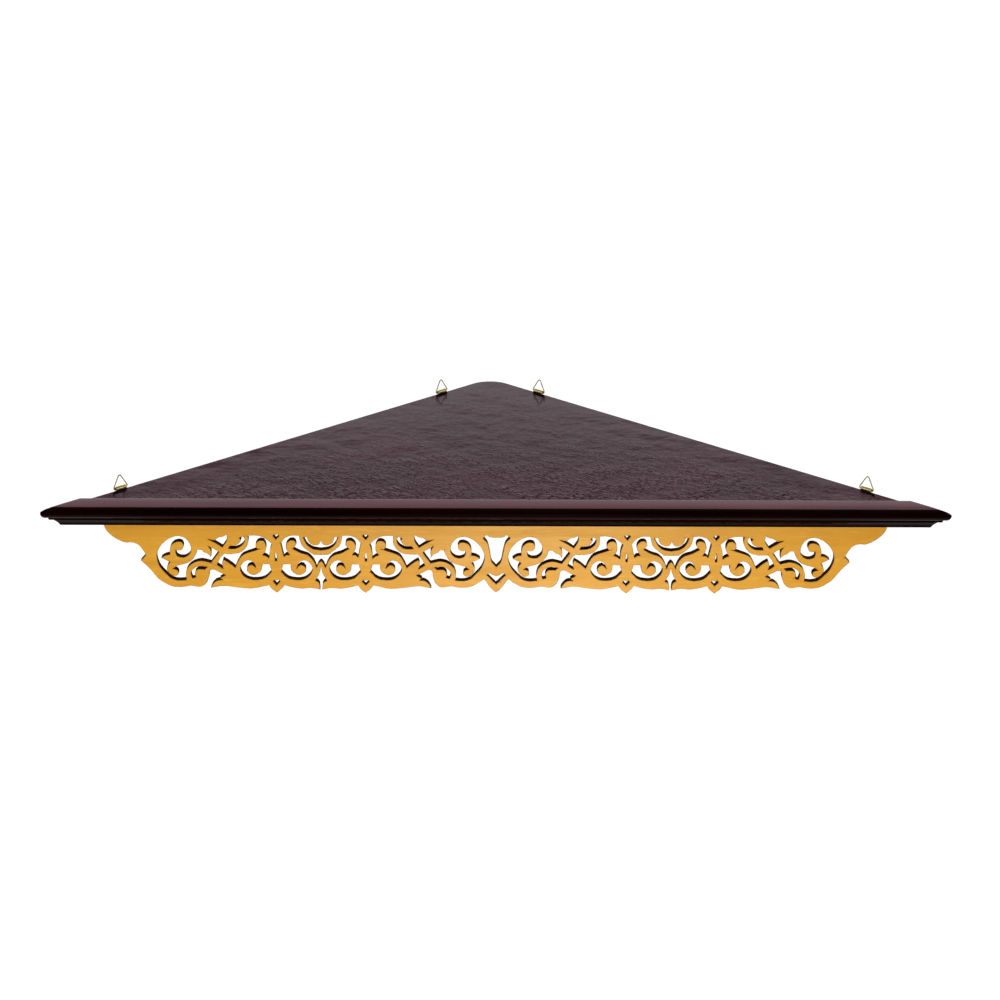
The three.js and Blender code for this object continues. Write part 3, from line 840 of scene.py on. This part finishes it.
def makeValance():
    v = valanceSet
    low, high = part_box("fret_valance")
    lines = valanceLines(low.y)
    walls = wallTree(lines)

    def gap(p):
        return walls.find_nearest(Vector((p[0], 0, p[1])))[3]

    edgeLines, strip = softEdges(lines, gap)
    across, upwards = (np.arange(low[i], high[i], v["fill"]) for i in (0, 2))
    grid = [Vector((x, z)) for x in across for z in upwards]
    grid = [p for p in grid if gap(p) > v["toastWidth"] * 1.2]
    spots, corners = flatTriangles(edgeLines, strip + grid)
    toast = [max(0.0, 1 - gap(p) / v["toastWidth"]) for p in spots]
    print("valance:", len(lines), "cut lines,", sum(map(len, edgeLines)), "edge points,",
          len(corners), "triangles on a face")

    # the two flat faces: gold in front, bare ply behind
    shift = len(spots)
    points = [(x, y, z) for y in (low.y, high.y) for x, z in spots]
    toasts = toast + toast
    faces, kinds = [], []
    for a, b, c in corners:
        faces += [(a, b, c), (a + shift, c + shift, b + shift)]
        kinds += [0, 2]

    # the edges: from the front line over the soft edge, along the charred cut and back over
    def key(x, z):
        return round(x, 7), round(z, 7)

    nearest = {key(x, z): i for i, (x, z) in enumerate(spots)}
    for line, inner in zip(lines, edgeLines):
        count = len(line)
        rings = [[nearest.get(key(p.x, p.y), -1) for p in inner]]
        for y in (low.y + v["edgeRound"], high.y - v["edgeRound"]):
            rings.append(list(range(len(points), len(points) + count)))
            points += [(p.x, y, p.y) for p in line]
            toasts += [1.0] * count
        rings.append([i + shift if i >= 0 else -1 for i in rings[0]])
        for near, far, kind in zip(rings, rings[1:], (0, 1, 2)):
            for i in range(count):
                j = (i + 1) % count
                quad = (near[i], near[j], far[j], far[i])
                if -1 not in quad and len(set(quad)) == 4:
                    faces.append(quad)
                    kinds.append(kind)
    valance = pieceFrom("fretValance", points, faces, [goldPaint(), charredPly(), rawPly()])
    mesh = valance.data
    mesh.polygons.foreach_set("material_index", kinds)
    mark = mesh.attributes.new("edgeToast", "FLOAT", "POINT")
    mark.data.foreach_set("value", toasts)
    outwardFaces(valance)
    shaded(valance)
    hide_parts("fret_valance")
    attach(valance, "shelf")


# Geometry Nodes: every tree takes points to stand on, with a "turn" for each, and sizes as inputs.


class Growth(Wiring):
    def __init__(self, name, inputs):
        super().__init__(bpy.data.node_groups.new(name, "GeometryNodeTree"))
        sockets = self.tree.interface
        sockets.new_socket("Geometry", in_out="OUTPUT", socket_type="NodeSocketGeometry")
        for label, kind in {"Geometry": "Geometry", **inputs}.items():
            sockets.new_socket(label, in_out="INPUT", socket_type="NodeSocket" + kind)
        self.given = self.node("NodeGroupInput").outputs

    def geo(self, kind, values=None, **settings):
        return self.made("GeometryNode" + kind, values, **settings)

    def vector(self, x, y, z):
        return self.made("ShaderNodeCombineXYZ", {"X": x, "Y": y, "Z": z})

    def chosen(self, index, items, kind="FLOAT"):
        switch = self.node("GeometryNodeIndexSwitch", data_type=kind)
        while len(switch.index_switch_items) < len(items):
            switch.index_switch_items.new()
        for i, item in enumerate((index, *items)):
            self.put(switch.inputs[i], item)
        return switch.outputs[0]

    def moved(self, geometry, **values):
        return self.geo("Transform", {"Geometry": geometry, **values})

    def either(self, test, no, yes):
        return self.geo("Switch", {"Switch": test, "False": no, "True": yes}, input_type="GEOMETRY")

    def setAtPlaces(self, pattern, spin=None):
        turn = self.geo("InputNamedAttribute", {"Name": "turn"}, data_type="FLOAT_VECTOR")
        turned = self.made("FunctionNodeEulerToRotation", {0: turn})
        values = {"Points": self.given["Geometry"], "Instance": pattern, "Rotation": turned}
        placed = self.geo("InstanceOnPoints", values)
        if spin is not None:
            own = self.made("FunctionNodeEulerToRotation", {0: self.vector(0.0, 0.0, spin)})
            placed = self.geo("RotateInstances", {"Instances": placed, "Rotation": own})
        real = self.geo("RealizeInstances", {"Geometry": placed})
        painted = self.geo("SetMaterial", {"Geometry": real, "Material": self.given["Material"]})
        self.node("NodeGroupOutput", {0: painted})


def grown(name, places, growth, values):
    # places are pairs of a point and the three angles of its turn
    mesh = bpy.data.meshes.new(name)
    mesh.from_pydata([tuple(p) for p, _ in places], [], [])
    turn = mesh.attributes.new("turn", "FLOAT_VECTOR", "POINT")
    turn.data.foreach_set("vector", [c for _, t in places for c in t])
    piece = linked(name, mesh)
    modifier = piece.modifiers.new("growth", "NODES")
    modifier.node_group = growth.tree
    for item in growth.tree.interface.items_tree:
        if item.in_out == "INPUT" and item.name in values:
            modifier[item.identifier] = values[item.name]
    baked(piece)
    outwardFaces(piece)
    shaded(piece)
    return piece


# A screw or brad. Its outline has a point for each bend, from the crown to the tip, and here is
# each point's share of each size. A size that isn't given is nothing.

fastenerOutline = {
    "Head Radius": (0, 0.34, 0.62, 0.84, 0.96, 1, 1, 0.97, 0, 0, 0),
    "Shank Radius": (0, 0, 0, 0, 0, 0, 0, 0, 1, 1, 0),
    "Crown": (1, 0.95, 0.8, 0.5, 0.18, 0, 0, 0, 0, 0, 0),
    "Rim": (0, 0, 0, 0, 0, -0.2, -0.85, -1, -1, 0, 0),
    "Taper": (0, 0, 0, 0, 0, 0, 0, 0, -1, 0, 0),
    "Length": (0, 0, 0, 0, 0, 0, 0, 0, 0, -0.82, -1),
}


def fastenerTree():
    recess = ("Recess Width", "Recess Length", "Recess Depth")
    inputs = dict.fromkeys((*fastenerOutline, *recess), "Float")
    inputs.update({"Cross": "Bool", "Segments": "Int", "Seed": "Int", "Material": "Material"})
    tree = Growth("fastener", inputs)
    given, calc, added, times = tree.given, tree.calc, tree.added, tree.times

    # a grid with a row of points for each bend is rolled up about the axis
    around = added(given["Segments"], 1.0)
    rows = len(fastenerOutline["Length"])
    values = {"Size X": 1.0, "Size Y": 1.0, "Vertices X": rows, "Vertices Y": around}
    grid = tree.geo("MeshGrid", values)
    index = tree.geo("InputIndex")
    row = calc("FLOOR", calc("DIVIDE", added(index, 0.5), around))
    angle = times(calc("DIVIDE", calc("MODULO", index, around), given["Segments"]), 2 * pi)
    part = {}
    for size, shares in fastenerOutline.items():
        part[size] = times(tree.chosen(row, [float(share) for share in shares]), given[size])
    radius = added(part["Head Radius"], part["Shank Radius"])
    height = added(added(part["Crown"], part["Rim"]), added(part["Taper"], part["Length"]))
    x, y = times(radius, calc("COSINE", angle)), times(radius, calc("SINE", angle))
    values = {"Geometry": grid, "Position": tree.vector(x, y, height)}
    rolled = tree.geo("SetPosition", values)
    closed = tree.geo("MergeByDistance", {"Geometry": rolled, "Distance": 1e-6})

    # the slot, or with Cross two of them, cut down from the crown
    depth = times(given["Recess Depth"], 2.0)
    size = tree.vector(given["Recess Length"], given["Recess Width"], depth)
    slot = tree.geo("MeshCube", {"Size": size})
    first = tree.moved(slot, Translation=tree.vector(0.0, 0.0, given["Crown"]))
    second = tree.moved(first, Rotation=(0, 0, pi / 2))
    joined = tree.node("GeometryNodeMeshBoolean", operation="UNION")
    for half in (first, second):
        tree.put(joined.inputs["Mesh 2"], half)
    recess = tree.either(given["Cross"], first, joined.outputs[0])
    values = {"Mesh 1": closed, "Mesh 2": recess}
    cut = tree.geo("MeshBoolean", values, operation="DIFFERENCE")
    values = {0: given["Recess Depth"], 1: 0.0}
    isCut = tree.made("FunctionNodeCompare", values, operation="GREATER_THAN")
    values = {2: 0.0, 3: 2 * pi, "Seed": given["Seed"]}
    spin = tree.node("FunctionNodeRandomValue", values, data_type="FLOAT").outputs[1]
    tree.setAtPlaces(tree.either(isCut, closed, cut), spin)
    return tree


# Batten, and what holds it

battenSet = {
    "edgeRound": 0.6 * mm,
    "pine": ((0.63, 0.42, 0.22), (0.48, 0.27, 0.11), (0.33, 0.17, 0.06)),
    "pineRoughness": 0.6,
    "screws": 5,
    "screw": {
        "Head Radius": 3.2 * mm, "Rim": 0.4 * mm, "Taper": 1.6 * mm, "Shank Radius": 1.6 * mm,
        "Length": 17 * mm, "Recess Width": 0.8 * mm, "Recess Length": 3.6 * mm,
        "Recess Depth": 1.1 * mm, "Cross": True, "Segments": 28, "Seed": 3,
    },
    "zinc": ((0.55, 0.5, 0.36), (0.3, 0.26, 0.18), 0.32),  # light, dark, roughness
    "brads": 6,
    "brad": {
        "Head Radius": 1.3 * mm, "Rim": 0.8 * mm, "Taper": 0.05 * mm, "Shank Radius": 0.7 * mm,
        "Length": 18.3 * mm, "Segments": 16, "Seed": 5,
    },
    "bradSteel": ((0.5, 0.5, 0.5), (0.25, 0.24, 0.23), 0.35),
}


def pineWood():
    light, dark, fibre = battenSet["pine"]
    finish = Finish("barePine")
    rings = finish.node("ShaderNodeTexWave", {
        "Vector": finish.stretched((0.5, 30, 26), (0.06, 0.02, 0.01)),
        "Scale": 3.2, "Distortion": 3.2, "Detail": 2.0, "Detail Scale": 0.6,
    }, wave_type="RINGS", rings_direction="X").outputs["Fac"]
    fibres = finish.noise(500, stretch=(0.03, 1, 1))
    wood = finish.mixed(rings, light, dark)
    finish.colour(finish.mixed(finish.spread(fibres, 0.5, 0.75, toHigh=0.5), wood, fibre))
    finish.roughness(battenSet["pineRoughness"])
    finish.bump(fibres, 0.08 * mm, strength=0.6)
    return finish.material


def makeBatten():
    low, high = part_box("fixing_batten")
    batten = mergedCopy("fixingBatten", "fixing_batten", pineWood())
    mesh = batten.data
    # only its outer edges are rounded, which lie on two sides of its box
    weight = mesh.attributes.new("bevel_weight_edge", "FLOAT", "EDGE")
    for edge in mesh.edges:
        ends = [mesh.vertices[v].co for v in edge.vertices]
        sides = sum(all(min(abs(p[i] - low[i]), abs(p[i] - high[i])) < slack for p in ends)
                    for i in range(3))
        weight.data[edge.index].value = 1.0 if sides == 2 else 0.0
    rounded(batten, battenSet["edgeRound"], segments=3)
    shaded(batten)
    evenNormals(batten)
    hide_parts("fixing_batten")
    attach(batten, "shelf")


def battenRow(count, low, high):
    span = (high.x - low.x) / count
    return [low.x + span * (i + 0.5) for i in range(count)]


def makeBattenFixings(fastener):
    b = battenSet
    low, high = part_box("fixing_batten")
    middleY, middleZ = (low.y + high.y) / 2, (low.z + high.z) / 2
    zinc = metalFinish("zincScrews", *b["zinc"])
    downwards = [((x, middleY, low.z), (pi, 0, 0)) for x in battenRow(b["screws"], low, high)]
    screws = grown("battenScrews", downwards, fastener, {**b["screw"], "Material": zinc})
    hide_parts(*(f"batten_screw_{i + 1}" for i in range(b["screws"])))
    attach(screws, "shelf")
    bright = metalFinish("brightBrads", *b["bradSteel"])
    backwards = [((x, high.y, middleZ), (-pi / 2, 0, 0)) for x in battenRow(b["brads"], low, high)]
    brads = grown("valanceBrads", backwards, fastener, {**b["brad"], "Material": bright})
    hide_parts(*(f"valance_brad_{i + 1}" for i in range(b["brads"])))
    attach(brads, "shelf")


# Hangers: a strap rolled round the ring's base bar, a triangle ring and a slotted round-head screw

hangerSet = {
    "plateMiddle": -0.95 * mm,  # middle of the strap's plate, from the ring's axis
    "rollMiddle": (0.25 * mm, 0.3 * mm),  # the ring's bar rests low in its rolled eye
    "rollRadius": 1.2 * mm,
    "rollWidth": 9 * mm,
    "rollEnd": -110,
    "rollSteps": 30,
    "stripThickness": 0.4 * mm,
    "stripWidth": 10 * mm,
    "stripEdge": 0.12 * mm,  # rounding of the strip's long edges
    "stripEdgeSteps": 4,
    "stripFoot": -9.6 * mm,
    "footRound": 3 * mm,
    "footSteps": 9,
    "narrowFrom": -3 * mm,  # the plate narrows from here up to the roll
    "narrowTo": (-1.8 * mm, -0.6 * mm),
    "strapBrass": ((0.9, 0.76, 0.36), (0.55, 0.43, 0.17), 0.28),  # light, dark, roughness
    "screwDown": 6.1 * mm,
    "screwFace": -0.45 * mm,
    "screw": {
        "Head Radius": 2.2 * mm, "Crown": 1.3 * mm, "Rim": 0.01 * mm, "Shank Radius": 1.2 * mm,
        "Length": 11 * mm, "Recess Width": 0.6 * mm, "Recess Length": 6 * mm,
        "Recess Depth": 0.7 * mm, "Segments": 28, "Seed": 8,
    },
    "screwBrass": ((0.78, 0.6, 0.27), (0.4, 0.29, 0.12), 0.3),
    "ringWidth": 12.6 * mm,
    "ringHeight": 10.3 * mm,
    "ringWire": 0.9 * mm,
    "ringBend": 1.1 * mm,
    "apexBend": 1.5 * mm,
    "bendSteps": 9,
    "ringSides": 14,
    "ringLean": 5,
    "ringBrass": ((0.70, 0.64, 0.32), (0.38, 0.33, 0.12), 0.25),
}


def hangerPlaces():
    # a ring's joint is the axis of its strap's eye, along the wall
    return [(Vector(j["pos_m"]), (0, 0, math.atan2(j["axis"][1], j["axis"][0])))
            for j in frame["joints"]]


def strapPattern():
    # the strip's section, four rounded corners, is carried up the plate and round the roll
    h = hangerSet
    half, plate, thin = h["stripWidth"] / 2, h["plateMiddle"], h["stripThickness"] / 2
    rollHalf, facing = h["rollWidth"] / 2, (-1, 0)
    # y and z on the middle line, which way the outer face looks, and half the width
    rows = []
    for a in np.linspace(0, pi / 2, h["footSteps"]):
        z = h["stripFoot"] + h["footRound"] * (1 - math.cos(a))
        rows.append((plate, z, facing, half - h["footRound"] * (1 - math.sin(a))))
    rows.append((plate, h["narrowFrom"], facing, half))
    rows += [(plate, z, facing, rollHalf) for z in h["narrowTo"]]
    (rollY, rollZ), radius = h["rollMiddle"], h["rollRadius"]
    for a in np.linspace(pi, math.radians(h["rollEnd"]), h["rollSteps"]):
        out = (math.cos(a), math.sin(a))
        rows.append((rollY + radius * out[0], rollZ + radius * out[1], out, rollHalf))

    r = h["stripEdge"]
    corner = arc(0, 0, 1, 0, pi / 2, h["stripEdgeSteps"] - 1)
    points = []
    for y, z, out, wide in rows:
        for sx, sn in ((1, 1), (-1, 1), (-1, -1), (1, -1)):
            for c, d in corner if sx * sn > 0 else corner[::-1]:
                x, n = sx * (wide - r + r * c), sn * (thin - r + r * d)
                points.append((x, y + out[0] * n, z + out[1] * n))
    count = 4 * len(corner)
    last = (len(rows) - 1) * count
    faces = []
    for a in range(0, last, count):
        b = a + count
        faces += [(a + j, a + (j + 1) % count, b + (j + 1) % count, b + j) for j in range(count)]
    faces += [tuple(range(count)), tuple(range(last, last + count))]
    strap = pieceFrom("strapPattern", points, faces)
    outwardFaces(strap)
    return strap


def makeStraps(places):
    h = hangerSet
    tree = Growth("strapAtPlaces", {"Pattern": "Object", "Material": "Material"})
    values = {"Object": tree.given["Pattern"]}
    tree.setAtPlaces(tree.node("GeometryNodeObjectInfo", values).outputs["Geometry"])
    pattern = strapPattern()
    brass = metalFinish("strapBrass", *h["strapBrass"])
    straps = grown("hangerStraps", places, tree, {"Pattern": pattern, "Material": brass})
    bpy.data.objects.remove(pattern)
    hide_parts(*(f"hanger_strap_{i}" for i in (1, 2, 3, 4)))
    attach(straps, "shelf")


def makeHangerScrews(places, fastener):
    h = hangerSet
    heads = []
    for (x, y, z), (_, _, turn) in places:
        wall = Matrix.Rotation(turn, 3, "Z") @ Vector((0, 1, 0))
        spot = Vector((x, y, z - h["screwDown"])) + wall * h["screwFace"]
        heads.append((spot, (-pi / 2, 0, turn)))
    brass = metalFinish("hangerScrewBrass", *h["screwBrass"])
    screws = grown("hangerScrews", heads, fastener, {**h["screw"], "Material": brass})
    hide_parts(*(f"hanger_screw_{i}" for i in (1, 2, 3, 4)))
    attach(screws, "shelf")


def wireRingTree():
    sizes = ("Half Base", "Height", "Wire Radius", "Bend Radius", "Apex Radius", "Lean")
    inputs = {**dict.fromkeys(sizes, "Float"), "Sides": "Int", "Material": "Material"}
    tree = Growth("triangleRing", inputs)
    given = tree.given
    halfBase = given["Half Base"]
    spots = ((halfBase, 0.0), (0.0, given["Height"]), (tree.times(halfBase, -1.0), 0.0))
    corners = [tree.vector(x, 0.0, z) for x, z in spots]
    radii = (given["Bend Radius"], given["Apex Radius"], given["Bend Radius"])
    triangle = tree.geo("CurvePrimitiveCircle", {"Resolution": 3})
    index = tree.geo("InputIndex")
    values = {"Geometry": triangle, "Position": tree.chosen(index, corners, "VECTOR")}
    triangle = tree.geo("SetPosition", values)
    values = {"Count": hangerSet["bendSteps"], "Limit Radius": True}
    values.update({"Curve": triangle, "Radius": tree.chosen(index, radii)})
    bent = tree.geo("FilletCurve", values, mode="POLY")
    values = {"Resolution": given["Sides"], "Radius": given["Wire Radius"]}
    section = tree.geo("CurvePrimitiveCircle", values)
    wire = tree.geo("CurveToMesh", {"Curve": bent, "Profile Curve": section})
    tree.setAtPlaces(tree.moved(wire, Rotation=tree.vector(given["Lean"], 0.0, 0.0)))
    return tree


def sharpTriangle():
    # half the base and the height of the triangle whose rounded wire has the ring's size
    h = hangerSet
    wire, bend, apexBend = h["ringWire"], h["ringBend"], h["apexBend"]
    halfBase, height = h["ringWidth"] / 2, h["ringHeight"]
    for _ in range(40):  # the two depend on one another
        lean = math.atan2(halfBase, height)
        height = h["ringHeight"] - wire - apexBend + apexBend / math.sin(lean)
        halfBase = (h["ringWidth"] - wire) / 2 - bend + bend / math.tan(pi / 4 - lean / 2)
    return halfBase, height


def makeRings(places):
    h = hangerSet
    tree = wireRingTree()
    halfBase, height = sharpTriangle()
    brass = metalFinish("ringBrass", *h["ringBrass"])
    values = {
        "Half Base": halfBase, "Height": height, "Wire Radius": h["ringWire"] / 2,
        "Bend Radius": h["ringBend"], "Apex Radius": h["apexBend"],
        "Lean": math.radians(-h["ringLean"]), "Sides": h["ringSides"], "Material": brass,
    }
    for number, place in zip((1, 2, 3, 4), places):
        ring = grown(f"hangerRing{number}", [place], tree, values)
        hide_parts(f"hanger_ring_{number}")
        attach(ring, f"ring_{number}")


makeLights()
makeSky()
makeFloor()
makeCamera()
print("camera and studio ready")
makeBoard()
makeMoulding()
print("board and moulding made")
makeValance()
print("valance made")
makeBatten()
fastener = fastenerTree()
makeBattenFixings(fastener)
print("batten and its screws made")
places = hangerPlaces()
makeStraps(places)
makeHangerScrews(places, fastener)
makeRings(places)
print("hangers made")
